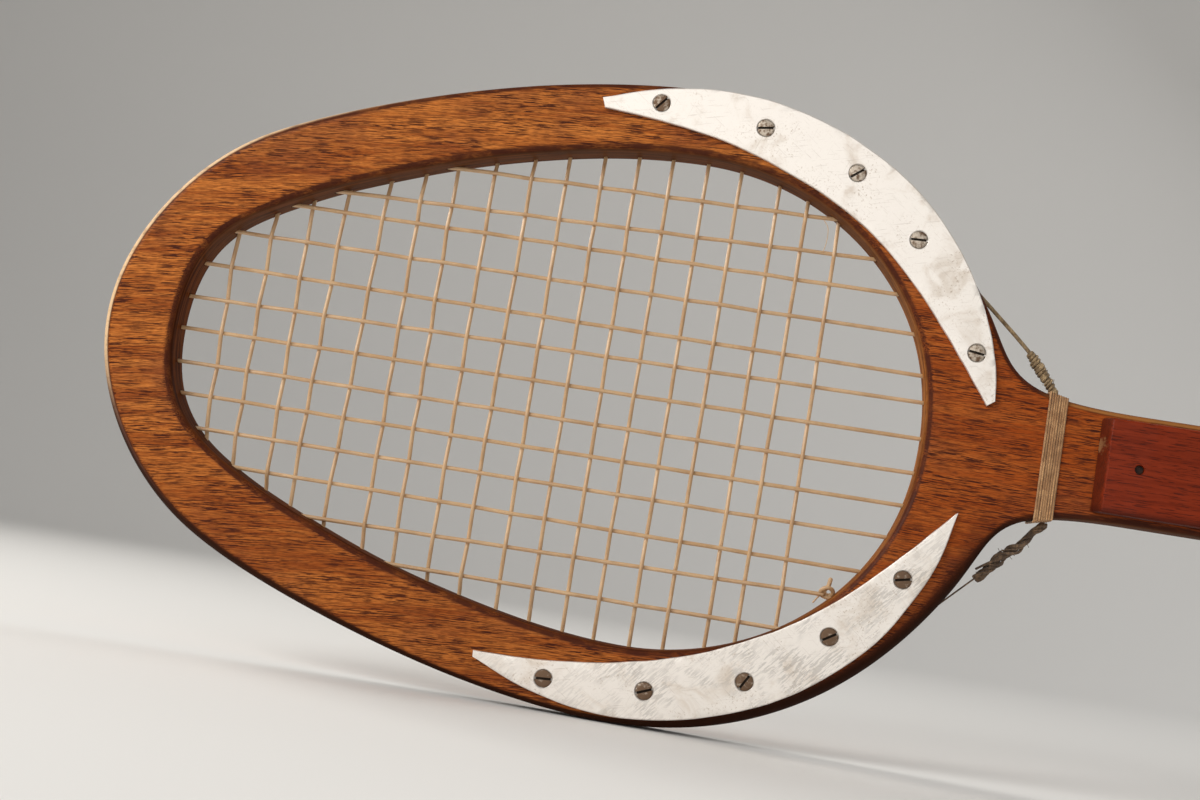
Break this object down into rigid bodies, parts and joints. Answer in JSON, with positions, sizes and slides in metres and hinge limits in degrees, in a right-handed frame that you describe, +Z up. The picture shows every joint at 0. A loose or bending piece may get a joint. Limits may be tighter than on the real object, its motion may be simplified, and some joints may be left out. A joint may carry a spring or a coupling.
{
  "type": "tennis racket",
  "caption": "Home-made wooden tennis racket sawn from one board, with bright crescent plates, gut strings, a bound throat and a slab handle.",
  "frame": {"origin": "middle of the footprint, on the floor, with the racket standing on the side of its hoop", "axes": "+X along the handle from the tip to the butt, front face with the plates towards -Y, hoop width along Z, +Z up"},
  "size_m": [0.686, 0.0284, 0.2293],
  "materials": {
    "hardwood": "oiled orange-brown hardwood with dark pores, worn satin",
    "redwood": "dark red-brown varnished wood",
    "aluminium": "hand-polished sheet with scratches and grey stains",
    "worn_steel": "dull slotted screws with brown corrosion",
    "dark_steel": "blackened nails",
    "gut": "pale tan translucent gut or monofilament, satin",
    "twine": "thin pale strands, dry and slightly frayed"
  },
  "bodies": {
    "root": {"back_slab": "redwood", "back_slab_nail_1": "dark_steel", "back_slab_nail_2": "dark_steel", "back_slab_nail_3": "dark_steel", "cross_string": "gut", "frame": "hardwood", "front_slab": "redwood", "front_slab_nail_1": "dark_steel", "front_slab_nail_2": "dark_steel", "front_slab_nail_3": "dark_steel", "lower_plate": "aluminium", "lower_plate_screw_1": "worn_steel", "lower_plate_screw_2": "worn_steel", "lower_plate_screw_3": "worn_steel", "lower_plate_screw_4": "worn_steel", "lower_plate_screw_5": "worn_steel", "lower_tie": "twine", "lower_tie_coil": "twine", "main_string": "gut", "main_string_knot": "gut", "throat_whipping": "twine", "upper_plate": "aluminium", "upper_plate_screw_1": "worn_steel", "upper_plate_screw_2": "worn_steel", "upper_plate_screw_3": "worn_steel", "upper_plate_screw_4": "worn_steel", "upper_plate_screw_5": "worn_steel", "upper_tie": "twine", "upper_tie_coil": "twine"}
  },
  "joints": []
}
